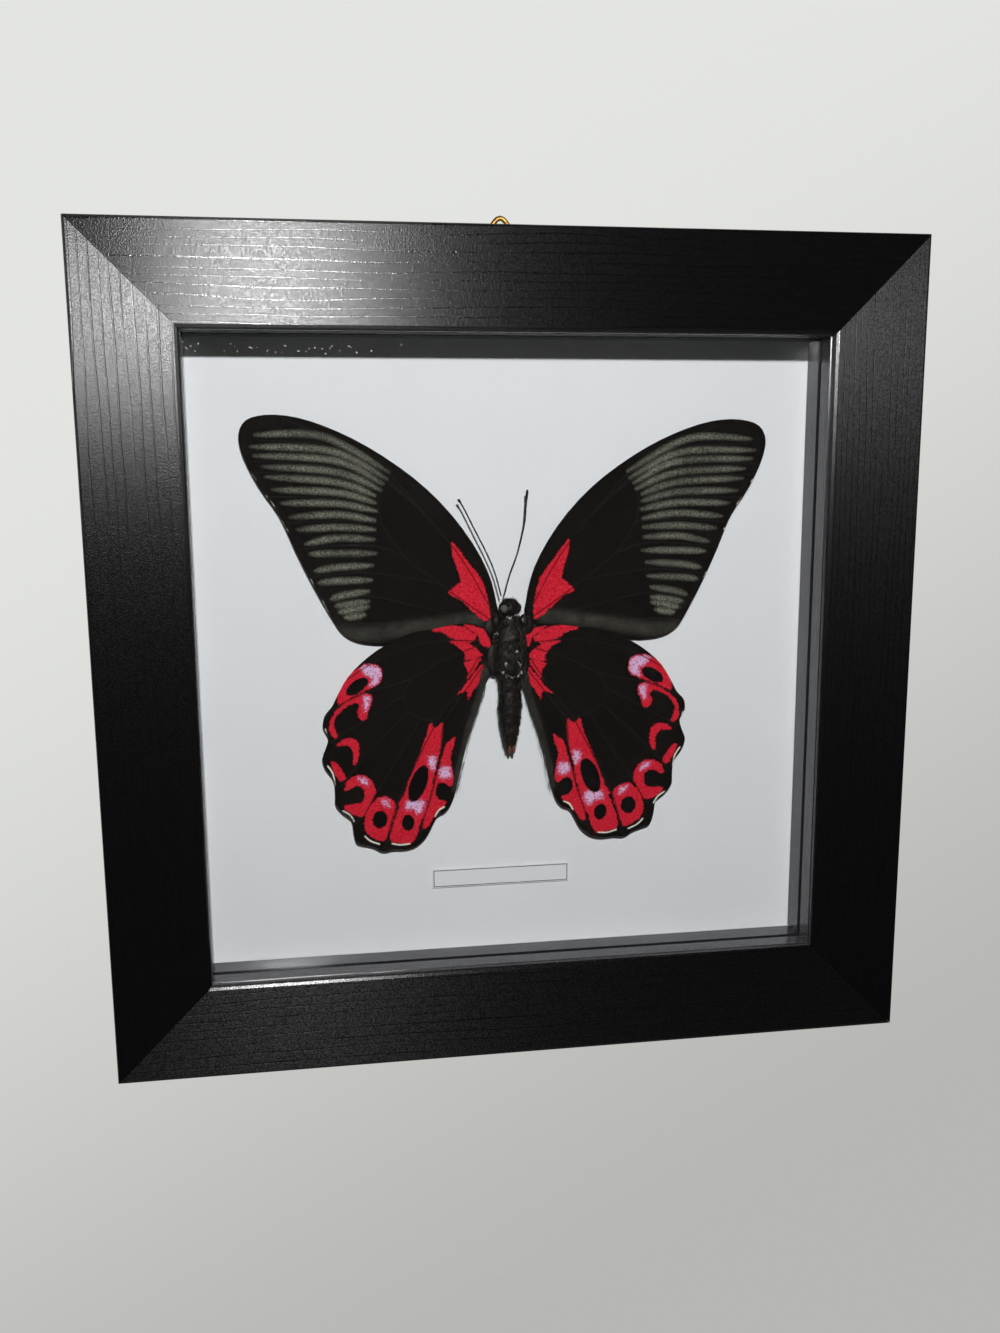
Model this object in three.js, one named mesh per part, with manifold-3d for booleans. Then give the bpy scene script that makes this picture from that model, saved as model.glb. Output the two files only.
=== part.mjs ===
// Framed butterfly specimen: a black wooden box frame, glass, a white mount board and a spread butterfly
// shown from below. Millimetres: +X right, +Y towards the wall, +Z up, and the front faces -Y.
// The origin is where the hanging ring rests on its nail.
import * as THREE from "three";
import { mergeVertices } from "three/addons/utils/BufferGeometryUtils.js";
import Module from "manifold-3d";

// Frame moulding
const frameSize = 200;
const frameDepth = 24;
const faceWidth = 22.4;
const sightWidth = 23.6;
const lipDepth = 7.6;
const rebateWidth = 17.6;
const outerArris = 0.7;
const mitreGap = 0.12;

// What lies in the rebate, front to back, each a touching gap behind the last
const touchGap = 0.3;
const glassThickness = 2;
const spacerDepth = 6.7;
const boardThickness = 1.5;
const panelThickness = 2.5;

// Framer's points that hold the back panel
const pointWidth = 8;
const pointLength = 13;
const pointThickness = 0.5;
const pointBite = 5;
const pointOffset = 38;

// Hanger on the back of the top rail
const wireRadius = 0.65;
const ringHeight = 9.2;
const ringHalfWidth = 7.6;
const ringDrop = 3.8;
const eyeClearance = 0.35;
const strapThickness = 0.65;
const strapWidth = 6;
const strapLength = 9.5;
const screwDrop = 4.5;
const screwRadius = 1.1;
const screwHeadRadius = 2.2;
const screwLength = 8;

// Butterfly
const pointsPerControl = 3;
const wingThickness = 0.4;
const forewingFront = 15.2;
const hindwingFront = 14.5;
const bodyMiddle = { x: -0.5, y: 13.5 };
const bodyFlatness = 0.81;
const bodyClearance = 0.35;
const antennaRadius = 0.2;

// Label
const labelSize = { width: 35.6, height: 4.8, thickness: 0.25 };
const labelPlace = { x: -2.6, z: -57.5 };

const half = frameSize / 2;
const sightHalf = half - sightWidth;
const packHalf = half - rebateWidth - touchGap;
const glassFront = lipDepth + touchGap;
const spacerFront = glassFront + glassThickness + touchGap;
const boardFront = spacerFront + spacerDepth + touchGap;
const panelFront = boardFront + boardThickness + touchGap;
const pointFront = panelFront + panelThickness + touchGap;
const eyeRadius = wireRadius + eyeClearance + strapThickness;
const barPlace = { y: frameDepth + touchGap + eyeRadius, z: half - ringDrop };
const nailPoint = { y: barPlace.y, z: barPlace.z + ringHeight - wireRadius };

// The left forewing's outline as [x, z], from its root up the leading edge and down the outer edge
const forewingOutline = [
  [-3.2, 9.5], [-3.5, 13.2], [-5.6, 21.0], [-11.6, 31.3], [-20.4, 41.1], [-30.9, 49.0], [-41.2, 54.6],
  [-51.0, 58.0], [-58.3, 58.6], [-63.0, 57.3], [-64.7, 54.3], [-64.0, 49.6], [-60.6, 42.3], [-55.9, 35.1],
  [-52.2, 26.4], [-48.3, 18.1], [-44.0, 10.1], [-41.6, 6.6], [-38.2, 4.6], [-32.0, 3.7], [-20.0, 4.8],
  [-9.0, 5.6],
];

// The left hindwing's, from its root along the front edge, round the scalloped edge and up the inner edge
const hindwingOutline = [
  [-3.4, 2.0], [-4.6, 5.6], [-9.1, 8.1], [-13.0, 8.3], [-19.6, 7.2], [-24.3, 6.5], [-29.5, 4.5],
  [-35.5, 0.9], [-40.7, -4.0], [-43.6, -8.8], [-44.9, -11.3], [-46.8, -13.6], [-47.2, -16.2],
  [-46.0, -18.9], [-46.7, -21.6], [-47.6, -24.0], [-47.0, -26.6], [-45.0, -29.6], [-44.7, -33.2],
  [-44.7, -36.0], [-43.0, -38.3], [-40.8, -40.2], [-40.4, -43.3], [-39.6, -46.2], [-37.6, -46.9],
  [-35.5, -47.5], [-33.1, -48.8], [-30.4, -48.5], [-27.4, -48.6], [-24.6, -47.8], [-22.0, -45.5],
  [-20.4, -42.6], [-19.0, -40.2], [-17.0, -39.2], [-15.3, -36.7], [-14.1, -32.6], [-12.4, -25.7],
  [-10.7, -19.6], [-8.2, -12.4], [-6.3, -6.4], [-4.2, -2.6],
];

// The right wings mirror the left ones but are not quite alike: how they scale across and up, how far they
// lean sideways with height, the turn in degrees and the shift
const wingSides = {
  left: {
    mirror: 1,
    forewing: { across: 1, up: 1, lean: 0, turn: 0, shift: [0, 0] },
    hindwing: { across: 1, up: 1, lean: 0, turn: 0, shift: [0, 0] },
  },
  right: {
    mirror: -1,
    forewing: { across: 1.018, up: 1.001, lean: -0.061, turn: -2.0, shift: [0.84, 0.76] },
    hindwing: { across: 1.049, up: 0.989, lean: 0.069, turn: 2.34, shift: [-3.6, -1.13] },
  },
};

// Thorax and abdomen as [height, radius]
const trunkProfile = [
  [10.9, 1.5], [9.8, 2.7], [7.0, 3.6], [3.5, 3.95], [0.0, 3.9], [-3.0, 3.6], [-5.4, 2.9], [-7.5, 3.05],
  [-12.0, 3.1], [-16.0, 2.95], [-19.5, 2.35], [-22.5, 1.5], [-24.4, 0.95],
];
const trunkEnd = -25;
const segmentLength = 2.3;
const segmentDip = 0.06;
const abdomenTop = -5.4;
const trunkSteps = 44;

// Each antenna as [x, y, z] from the head to its clubbed tip
const antennaPaths = {
  left: [[-2.75, 13.0, 15.1], [-4.1, 12.9, 20.2], [-5.9, 12.9, 24.8], [-9.2, 13.1, 31.4],
    [-11.7, 13.3, 36.4], [-13.1, 13.4, 38.7]],
  right: [[-1.95, 13.0, 15.3], [-0.5, 12.9, 20.6], [1.4, 12.9, 25.6], [3.1, 13.1, 32.1],
    [3.6, 13.3, 36.3], [4.0, 13.4, 40.8]],
};

// Legs folded on the underside of the thorax, as the height of each pair's root
const legRoots = [7.6, 4.2, 1.2];
const legRadius = 0.3;

const colours = {
  frame: { color: 0x141416, roughness: 0.4, metalness: 0 },
  spacer: { color: 0x101012, roughness: 0.2, metalness: 0 },
  glass: { color: 0xdfe8e8, roughness: 0.03, metalness: 0, transparent: true, opacity: 0.3 },
  board: { color: 0xd9dcdc, roughness: 0.8, metalness: 0 },
  panel: { color: 0x7a5a3c, roughness: 0.85, metalness: 0 },
  steel: { color: 0x9a9a9a, roughness: 0.4, metalness: 1 },
  brass: { color: 0xb08d3c, roughness: 0.35, metalness: 1 },
  wing: { color: 0x17130f, roughness: 0.6, metalness: 0 },
  body: { color: 0x16120e, roughness: 0.5, metalness: 0 },
  paper: { color: 0xe2e6e6, roughness: 0.85, metalness: 0 },
};

const wasm = await Module();
wasm.setup();

const object = new THREE.Group();
object.position.set(0, -nailPoint.y, -nailPoint.z);

function add(name, geometry, look) {
  const mesh = new THREE.Mesh(geometry, new THREE.MeshStandardMaterial(colours[look]));
  mesh.name = name;
  object.add(mesh);
  return mesh;
}

// Solids for joining and cutting
function toSolid(geometry) {
  const bare = geometry.clone();
  bare.deleteAttribute("normal");
  bare.deleteAttribute("uv");
  const merged = mergeVertices(bare, 1e-4);
  const corners = merged.index.array;
  const kept = [];
  for (let i = 0; i < corners.length; i += 3) {
    const [a, b, c] = corners.slice(i, i + 3);
    if (a !== b && b !== c && c !== a) kept.push(a, b, c);
  }
  return new wasm.Manifold(new wasm.Mesh({
    numProp: 3,
    vertProperties: new Float32Array(merged.attributes.position.array),
    triVerts: new Uint32Array(kept),
  }));
}

function toGeometry(solid) {
  const mesh = solid.getMesh();
  const geometry = new THREE.BufferGeometry();
  geometry.setAttribute("position", new THREE.BufferAttribute(mesh.vertProperties, 3));
  geometry.setIndex(new THREE.BufferAttribute(mesh.triVerts, 1));
  geometry.computeVertexNormals();
  return geometry;
}

// A flat sheet with its outline in X and Z, its front at the given depth
function sheet(shape, front, thickness) {
  const geometry = new THREE.ExtrudeGeometry(shape, { depth: thickness, bevelEnabled: false });
  geometry.rotateX(Math.PI / 2);
  geometry.translate(0, front + thickness, 0);
  return geometry;
}

function block(width, height, front, thickness, x = 0, z = 0) {
  const geometry = new THREE.BoxGeometry(width, thickness, height);
  geometry.translate(x, front + thickness / 2, z);
  return geometry;
}

// A round bar along Y
function bar(radius, front, length, z, sides = 20) {
  const geometry = new THREE.CylinderGeometry(radius, radius, length, sides);
  geometry.translate(0, front + length / 2, z);
  return geometry;
}

function tube(curve, radius, sides, steps) {
  const section = new THREE.Shape();
  section.absarc(0, 0, radius, 0, Math.PI * 2);
  return new THREE.ExtrudeGeometry(section, {
    extrudePath: curve,
    curveSegments: sides / 2,
    steps,
    bevelEnabled: false,
  });
}

// Moulding section as [distance from the outer edge, depth]: flat face, rounded nose, bead groove, lip, rebate
const railSection = [
  [0, outerArris], [0.2, 0.2], [outerArris, 0], [faceWidth, 0], [23.05, 0.3], [23.45, 0.8],
  [sightWidth, 1.3], [sightWidth, 1.5], [23.05, 1.7], [23.05, 2.2], [sightWidth, 2.4],
  [sightWidth, lipDepth], [rebateWidth, lipDepth], [rebateWidth, frameDepth], [0, frameDepth],
];

// The top rail, its ends cut at the mitre
function railGeometry() {
  const section = new THREE.Shape(railSection.map(([across, depth]) => new THREE.Vector2(across, depth)));
  const rail = new THREE.ExtrudeGeometry(section, { depth: 1, bevelEnabled: false });
  const spots = rail.attributes.position;
  for (let i = 0; i < spots.count; i += 1) {
    const inward = half - spots.getX(i);
    const end = spots.getZ(i) > 0.5 ? 1 : -1;
    spots.setXYZ(i, end * (inward - mitreGap / 2), spots.getY(i), inward);
  }
  return rail;
}

// A slot in the rebate wall for each framer's point
function pointSlot(x) {
  const depth = pointBite + touchGap;
  const middle = half - rebateWidth + depth / 2 - 0.5;
  const height = depth + 1;
  return toSolid(block(pointWidth + 2 * touchGap, height, pointFront - touchGap,
    pointThickness + 2 * touchGap, x, middle));
}

function pointGeometry(x) {
  const rootZ = half - rebateWidth + pointBite;
  const tipZ = rootZ - pointLength;
  const shape = new THREE.Shape();
  shape.moveTo(x - pointWidth / 2, rootZ);
  shape.lineTo(x - pointWidth / 2, tipZ + 3);
  shape.lineTo(x - pointWidth / 4, tipZ);
  shape.lineTo(x + pointWidth / 4, tipZ);
  shape.lineTo(x + pointWidth / 2, tipZ + 3);
  shape.lineTo(x + pointWidth / 2, rootZ);
  return sheet(shape, pointFront, pointThickness);
}

function buildFrame() {
  const turns = { top: 0, right: 1, bottom: 2, left: 3 };
  const slotted = toSolid(railGeometry()).subtract(pointSlot(-pointOffset)).subtract(pointSlot(pointOffset));
  const screwHole = toSolid(bar(screwRadius + touchGap, frameDepth - screwLength - touchGap,
    screwLength + 1, barPlace.z - screwDrop));
  const quarter = Math.PI / 2;
  for (const [side, turn] of Object.entries(turns)) {
    const solid = side === "top" ? slotted.subtract(screwHole) : slotted;
    add(`rail_${side}`, toGeometry(solid), "frame").rotation.y = turn * quarter;
    add(`back_point_${side}_a`, pointGeometry(-pointOffset), "steel").rotation.y = turn * quarter;
    add(`back_point_${side}_b`, pointGeometry(pointOffset), "steel").rotation.y = turn * quarter;
  }
}

function buildPack() {
  const full = 2 * packHalf;
  const wide = packHalf - sightHalf;
  const middle = (packHalf + sightHalf) / 2;
  const short = 2 * (sightHalf - touchGap);
  add("glass_pane", block(full, full, glassFront, glassThickness), "glass");
  add("spacer_top", block(full, wide, spacerFront, spacerDepth, 0, middle), "spacer");
  add("spacer_bottom", block(full, wide, spacerFront, spacerDepth, 0, -middle), "spacer");
  add("spacer_left", block(wide, short, spacerFront, spacerDepth, -middle, 0), "spacer");
  add("spacer_right", block(wide, short, spacerFront, spacerDepth, middle, 0), "spacer");
  add("mount_board", block(full, full, boardFront, boardThickness), "board");
  add("back_panel", block(full, full, panelFront, panelThickness), "panel");
  const labelFront = boardFront - touchGap - labelSize.thickness;
  add("label_card", block(labelSize.width, labelSize.height, labelFront, labelSize.thickness,
    labelPlace.x, labelPlace.z), "paper");
}

// Hanging ring: one bent wire whose ends meet inside the strap's eye
function ringPath() {
  const at = (x, z) => new THREE.Vector3(x, barPlace.y, barPlace.z + z);
  const rounding = 2.0;
  const apexRounding = 2.4;
  const top = ringHeight + 1.05;
  const slope = new THREE.Vector2(ringHalfWidth, top).normalize();
  const path = new THREE.CurvePath();
  const line = (a, b) => path.add(new THREE.LineCurve3(a, b));
  const bend = (a, b, c) => path.add(new THREE.QuadraticBezierCurve3(a, b, c));
  const rightFoot = at(ringHalfWidth, 0);
  const rightLow = at(ringHalfWidth - rounding * slope.x, rounding * slope.y);
  const rightHigh = at(apexRounding * slope.x, top - apexRounding * slope.y);
  const leftHigh = at(-apexRounding * slope.x, top - apexRounding * slope.y);
  const leftLow = at(-ringHalfWidth + rounding * slope.x, rounding * slope.y);
  const leftFoot = at(-ringHalfWidth, 0);
  line(at(touchGap / 2, 0), at(ringHalfWidth - rounding, 0));
  bend(at(ringHalfWidth - rounding, 0), rightFoot, rightLow);
  line(rightLow, rightHigh);
  bend(rightHigh, at(0, top), leftHigh);
  line(leftHigh, leftLow);
  bend(leftLow, leftFoot, at(-ringHalfWidth + rounding, 0));
  line(at(-ringHalfWidth + rounding, 0), at(-touchGap / 2, 0));
  return path;
}

// Strap: a flat plate on the rail that curls round the ring's bar, seen in Y and Z and drawn out along X
function strapGeometry() {
  const backOfRail = frameDepth + touchGap;
  const plateBack = backOfRail + strapThickness;
  const { y, z } = barPlace;
  const meet = Math.sqrt(eyeRadius ** 2 - (y - plateBack) ** 2);
  const shape = new THREE.Shape();
  shape.moveTo(backOfRail, z - strapLength);
  shape.lineTo(plateBack, z - strapLength);
  shape.lineTo(plateBack, z - meet);
  shape.absarc(y, z, eyeRadius, Math.atan2(-meet, plateBack - y) + 2 * Math.PI, 3 * Math.PI, false);
  const eye = new THREE.Path();
  eye.absarc(y, z, wireRadius + eyeClearance, 0, Math.PI * 2);
  shape.holes.push(eye);
  const strap = new THREE.ExtrudeGeometry(shape, { depth: strapWidth, bevelEnabled: false, curveSegments: 16 });
  const alongX = new THREE.Matrix4().makeBasis(
    new THREE.Vector3(0, 1, 0), new THREE.Vector3(0, 0, 1), new THREE.Vector3(1, 0, 0));
  strap.applyMatrix4(alongX);
  strap.translate(-strapWidth / 2, 0, 0);
  const hole = toSolid(bar(screwRadius + touchGap, frameDepth, 2, z - screwDrop));
  return toGeometry(toSolid(strap).subtract(hole));
}

function screwGeometry() {
  const seat = frameDepth + 2 * touchGap + strapThickness;
  const profile = [
    [0, frameDepth - screwLength], [screwRadius, frameDepth - screwLength + 1.4], [screwRadius, seat],
    [screwHeadRadius, seat], [screwHeadRadius, seat + 0.4], [1.5, seat + 0.95], [0, seat + 1.15],
  ];
  const screw = new THREE.LatheGeometry(profile.map(([r, y]) => new THREE.Vector2(r, y)), 20);
  screw.translate(0, 0, barPlace.z - screwDrop);
  return screw;
}

function buildHanger() {
  add("hanging_ring", tube(ringPath(), wireRadius, 10, 52), "brass");
  add("hanger_strap", strapGeometry(), "brass");
  add("hanger_screw", screwGeometry(), "steel");
}

// A smooth closed outline through control points, set on one side of the body
function wingShape(outline, side, wing) {
  const { mirror } = wingSides[side];
  const { across, up, lean, turn, shift } = wingSides[side][wing];
  const angle = THREE.MathUtils.degToRad(turn);
  const control = outline.map(([x, z]) => new THREE.Vector3(mirror * across * x + lean * z, up * z, 0));
  const curve = new THREE.CatmullRomCurve3(control, true, "centripetal");
  const points = curve.getPoints(outline.length * pointsPerControl);
  points.pop();
  const placed = points.map(({ x, y }) => new THREE.Vector2(
    x * Math.cos(angle) - y * Math.sin(angle) + shift[0],
    x * Math.sin(angle) + y * Math.cos(angle) + shift[1],
  ));
  return new THREE.Shape(placed);
}

function ellipsoid(x, y, z, rx, ry, rz, around = 16, down = 12) {
  const geometry = new THREE.SphereGeometry(1, around, down);
  geometry.scale(rx, ry, rz);
  geometry.translate(x, y, z);
  return geometry;
}

// Thorax and segmented abdomen turned about the body's axis, then flattened
function trunkGeometry(grow) {
  const curve = new THREE.SplineCurve(trunkProfile.map(([z, r]) => new THREE.Vector2(r, z)));
  const profile = curve.getSpacedPoints(trunkSteps).map(({ x, y }) => {
    const along = (abdomenTop - y) / segmentLength;
    const phase = along - Math.floor(along);
    const dip = along > 0 ? segmentDip * Math.exp(-((phase - 0.5) ** 2) / 0.02) : 0;
    return new THREE.Vector2(x * (1 - dip) + grow, y);
  });
  profile.unshift(new THREE.Vector2(0, profile[0].y + 0.4 + grow));
  profile.push(new THREE.Vector2(0, trunkEnd - grow));
  const trunk = new THREE.LatheGeometry(profile.reverse(), 18);
  trunk.rotateX(Math.PI / 2);
  trunk.scale(1, bodyFlatness, 1);
  trunk.translate(bodyMiddle.x, bodyMiddle.y, 0);
  return trunk;
}

function headGeometry(grow) {
  return ellipsoid(bodyMiddle.x - 0.1, bodyMiddle.y - 0.3, 12.1, 2.7 + grow, 2.5 + grow, 2.5 + grow);
}

function legGeometry(side, rootZ) {
  const points = [
    [0.7, 11.4, rootZ + 0.6], [1.9, 10.9, rootZ - 0.6], [2.7, 10.9, rootZ - 2.6], [1.6, 10.75, rootZ - 4.6],
    [0.9, 10.8, rootZ - 6.4],
  ];
  const curve = new THREE.CatmullRomCurve3(
    points.map(([x, y, z]) => new THREE.Vector3(bodyMiddle.x + side * x, y, z)));
  return tube(curve, legRadius, 6, 9);
}

function bodySolid() {
  let solid = toSolid(trunkGeometry(0)).add(toSolid(headGeometry(0)));
  for (const side of [-1, 1]) {
    const x = bodyMiddle.x - 0.1;
    solid = solid.add(toSolid(ellipsoid(x + side * 1.85, 12.4, 12.2, 1.3, 1.3, 1.45, 12, 8)));
    solid = solid.add(toSolid(ellipsoid(x + side * 0.6, 11.6, 13.4, 0.5, 0.9, 1.2, 10, 8)));
    for (const rootZ of legRoots) solid = solid.add(toSolid(legGeometry(side, rootZ)));
  }
  return solid;
}

function antennaGeometry(side) {
  const curve = new THREE.CatmullRomCurve3(antennaPaths[side].map((spot) => new THREE.Vector3(...spot)));
  const [x, y, z] = antennaPaths[side].at(-1);
  const club = toSolid(ellipsoid(x, y, z - 1.2, 0.38, 0.38, 1.6, 10, 8));
  return toGeometry(toSolid(tube(curve, antennaRadius, 6, 20)).add(club));
}

function buildButterfly() {
  const clearance = toSolid(trunkGeometry(bodyClearance)).add(toSolid(headGeometry(bodyClearance)));
  add("butterfly_body", toGeometry(bodySolid()), "body");
  for (const side of ["left", "right"]) {
    const forewing = sheet(wingShape(forewingOutline, side, "forewing"), forewingFront, wingThickness);
    const hindwing = sheet(wingShape(hindwingOutline, side, "hindwing"), hindwingFront, wingThickness);
    add(`forewing_${side}`, toGeometry(toSolid(forewing).subtract(clearance)), "wing");
    add(`hindwing_${side}`, toGeometry(toSolid(hindwing).subtract(clearance)), "wing");
    add(`antenna_${side}`, antennaGeometry(side), "body");
  }
}

buildFrame();
buildPack();
buildHanger();
buildButterfly();

export default object;
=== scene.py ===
"""Looks of the framed butterfly specimen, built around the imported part.

Sizes named in millimetres are in the picture frame's own axes: x to the right, y into the wall from the
frame's front, z up from the frame's middle. place() turns them into the row frame, in metres.
"""

import random
from math import cos, exp, pi, radians, sin, sqrt

import bpy
import numpy as np
from mathutils import Matrix, Vector, noise
from mathutils.geometry import delaunay_2d_cdt


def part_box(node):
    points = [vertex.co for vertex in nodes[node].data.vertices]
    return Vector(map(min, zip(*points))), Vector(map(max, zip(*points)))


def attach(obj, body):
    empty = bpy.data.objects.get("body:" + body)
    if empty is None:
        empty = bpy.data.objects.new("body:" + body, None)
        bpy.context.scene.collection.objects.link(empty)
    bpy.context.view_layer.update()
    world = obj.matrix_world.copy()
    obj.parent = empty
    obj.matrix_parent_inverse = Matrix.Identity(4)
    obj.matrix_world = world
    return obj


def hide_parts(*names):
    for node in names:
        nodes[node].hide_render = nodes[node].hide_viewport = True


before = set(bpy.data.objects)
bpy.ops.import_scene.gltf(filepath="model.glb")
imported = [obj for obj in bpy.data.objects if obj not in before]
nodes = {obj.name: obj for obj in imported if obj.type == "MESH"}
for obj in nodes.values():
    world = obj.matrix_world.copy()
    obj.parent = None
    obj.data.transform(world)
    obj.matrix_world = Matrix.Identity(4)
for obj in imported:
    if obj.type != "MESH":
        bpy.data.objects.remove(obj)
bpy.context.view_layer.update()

MM = 0.001
FRONT_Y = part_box("rail_top")[0].y
MIDDLE_Z = (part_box("rail_top")[1].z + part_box("rail_bottom")[0].z) / 2
SIDES = ("top", "right", "bottom", "left")
SEED = 7


def place(x, y, z):
    """A point in the picture frame's own axes, in mm, as a point in the row frame, in metres."""
    return Vector((x * MM, FRONT_Y + y * MM, MIDDLE_Z + z * MM))


# Camera, solved from the frame's corners. It stands at CAMERA_AT, in mm.
PHOTO_HEIGHT = 1333
FOCAL_PIXELS = 1378.9
AXIS_BELOW_MIDDLE = 83.5
CAMERA_AT = (-61.9, -322.9, 45.9)
CAMERA_RIGHT = Vector((0.98479, -0.17360, -0.00667))
CAMERA_UP = Vector((0.04117, 0.19590, 0.97976))


def add_camera():
    data = bpy.data.cameras.new("camera")
    data.sensor_width = 36
    data.lens = FOCAL_PIXELS / PHOTO_HEIGHT * data.sensor_width
    data.shift_y = AXIS_BELOW_MIDDLE / PHOTO_HEIGHT
    data.clip_start = 0.01
    camera = bpy.data.objects.new("camera", data)
    bpy.context.scene.collection.objects.link(camera)
    right = CAMERA_RIGHT.normalized()
    back = right.cross(CAMERA_UP).normalized()
    up = back.cross(right)
    turn = Matrix((right, up, back)).transposed().to_4x4()
    camera.matrix_world = Matrix.Translation(place(*CAMERA_AT)) @ turn
    bpy.context.scene.camera = camera


class Finish:
    """A procedural material, built a node at a time."""

    def __init__(self, name, **shader):
        self.material = bpy.data.materials.new(name)
        self.material.use_nodes = True
        self.tree = self.material.node_tree
        self.shader = self.tree.nodes["Principled BSDF"]
        self.set(**shader)

    def set(self, **shader):
        for name, value in shader.items():
            self.feed(self.shader.inputs[name.replace("_", " ")], value)

    def feed(self, socket, value):
        if isinstance(value, bpy.types.NodeSocket):
            self.tree.links.new(value, socket)
        elif isinstance(value, tuple) and len(value) == 3 and socket.type == "RGBA":
            socket.default_value = (*value, 1)
        else:
            socket.default_value = value

    def node(self, kind, inputs, out=0, **settings):
        made = self.tree.nodes.new("ShaderNode" + kind)
        for name, value in settings.items():
            setattr(made, name, value)
        for key, value in inputs.items():
            self.feed(made.inputs[key], value)
        return made.outputs[out]

    def spot(self, stretch=(1, 1, 1)):
        """The place on the object in mm, scaled by stretch."""
        where = self.node("TexCoord", {}, out="Object")
        scale = tuple(s / MM for s in stretch)
        return self.node("Mapping", {"Vector": where, "Scale": scale})

    def noise(self, per_mm, detail=3, stretch=(1, 1, 1), rough=0.5):
        return self.node("TexNoise", {
            "Vector": self.spot(stretch), "Scale": per_mm, "Detail": detail, "Roughness": rough,
        })

    def attribute(self, name):
        return self.node("Attribute", {}, out="Fac", attribute_name=name)

    def math(self, operation, a, b=0.0):
        return self.node("Math", {0: a, 1: b}, operation=operation)

    def plus(self, a, b):
        return self.math("ADD", a, b)

    def minus(self, a, b):
        return self.math("SUBTRACT", a, b)

    def times(self, a, b):
        return self.math("MULTIPLY", a, b)

    def gap(self, a, b):
        """How far apart two values are."""
        return self.math("ABSOLUTE", self.minus(a, b))

    def step(self, value, low, high, start=0.0, end=1.0):
        """A smooth step from start at low to end at high."""
        return self.node("MapRange", {0: value, 1: low, 2: high, 3: start, 4: end},
                         interpolation_type="SMOOTHSTEP")

    def mix(self, factor, a, b):
        made = self.tree.nodes.new("ShaderNodeMix")
        made.data_type = "RGBA"
        self.feed(made.inputs["Factor"], factor)
        for key, colour in (("A", a), ("B", b)):
            socket = next(s for s in made.inputs if s.name == key and s.type == "RGBA")
            self.feed(socket, (colour,) * 3 if isinstance(colour, float) else colour)
        return next(s for s in made.outputs if s.type == "RGBA")

    def between(self, factor, pair):
        """A mix of a darker and a paler colour, both given in 0 to 255."""
        dark, pale = pair
        return self.mix(factor, linear(*dark), linear(*pale))

    def bump(self, height, depth_mm, strength=1.0):
        normal = self.node("Bump", {"Height": height, "Distance": depth_mm * MM, "Strength": strength})
        self.set(Normal=normal)


def linear(red, green, blue):
    """A colour read in 0 to 255 as linear light."""
    def one(value):
        share = value / 255
        return share / 12.92 if share <= 0.04045 else ((share + 0.055) / 1.055) ** 2.4
    return one(red), one(green), one(blue)


def dress(name, finish):
    piece = nodes[name]
    piece.data.materials.clear()
    piece.data.materials.append(finish.material)


# Grain pressed into the black rails: mm from line to line, and how deep the whole bump is
GRAIN_SPACING = {"top": 2.0, "right": 1.5, "bottom": 2.3, "left": 2.3}
GRAIN_DEPTH = {"top": 0.06, "right": 0.04, "bottom": 0.04, "left": 0.06}
# The share of that depth that the lines cut, and how much smoother than the rest they are
GROOVE_CUT = {"top": 0.25, "right": 0.4, "bottom": 0.5, "left": 1.0}
GROOVE_POLISH = {"top": 0.13, "right": 0.14, "bottom": 0.10, "left": 0.01}
# How far the lines wander, in lines: slowly, and in small bends
SLOW_WANDER = 1.7
QUICK_WANDER = 0.425
# How far the noise moves from rail to rail, so that their grain differs
GRAIN_SHIFT = (61.0, 37.0)
PORE_HEIGHT = 0.16
SAND_PER_MM = 3.6
SAND_HEIGHT = 0.5
# The lacquer's roughness, from its dull sand to its bright sand, and how much smoother each rail is
SAND_ROUGHNESS = (0.42, 0.29)
RAIL_POLISH = {"top": 0.0, "right": 0.0, "bottom": 0.06, "left": 0.0}
RAIL_ANISOTROPY = 0.84
# The rails' inner walls are smooth, with this roughness
LIP_ROUGHNESS = 0.22

# Colours of the frame, in 0 to 255, the darker and the paler of each
RAIL_BLACK = ((7, 7, 8), (15, 15, 17))
# The inner walls are black lacquer like the rails; this grey is painted light, standing in for the
# light these glossy walls reflect
PAINTED_LIP_LIGHT = (58, 58, 61)
SPACER_BLACK = ((34, 34, 37), (72, 71, 70))
FIBREBOARD_BROWN = ((96, 66, 42), (142, 106, 72))
BRASS = ((168, 124, 52), (208, 168, 92))
STEEL = ((120, 118, 116), (170, 168, 164))
# The board's and the label's whites, as linear light
BOARD_WHITE = ((0.80, 0.815, 0.84), (0.84, 0.85, 0.87))
LABEL_WHITE = ((0.78, 0.80, 0.83), (0.83, 0.845, 0.87))


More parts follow.
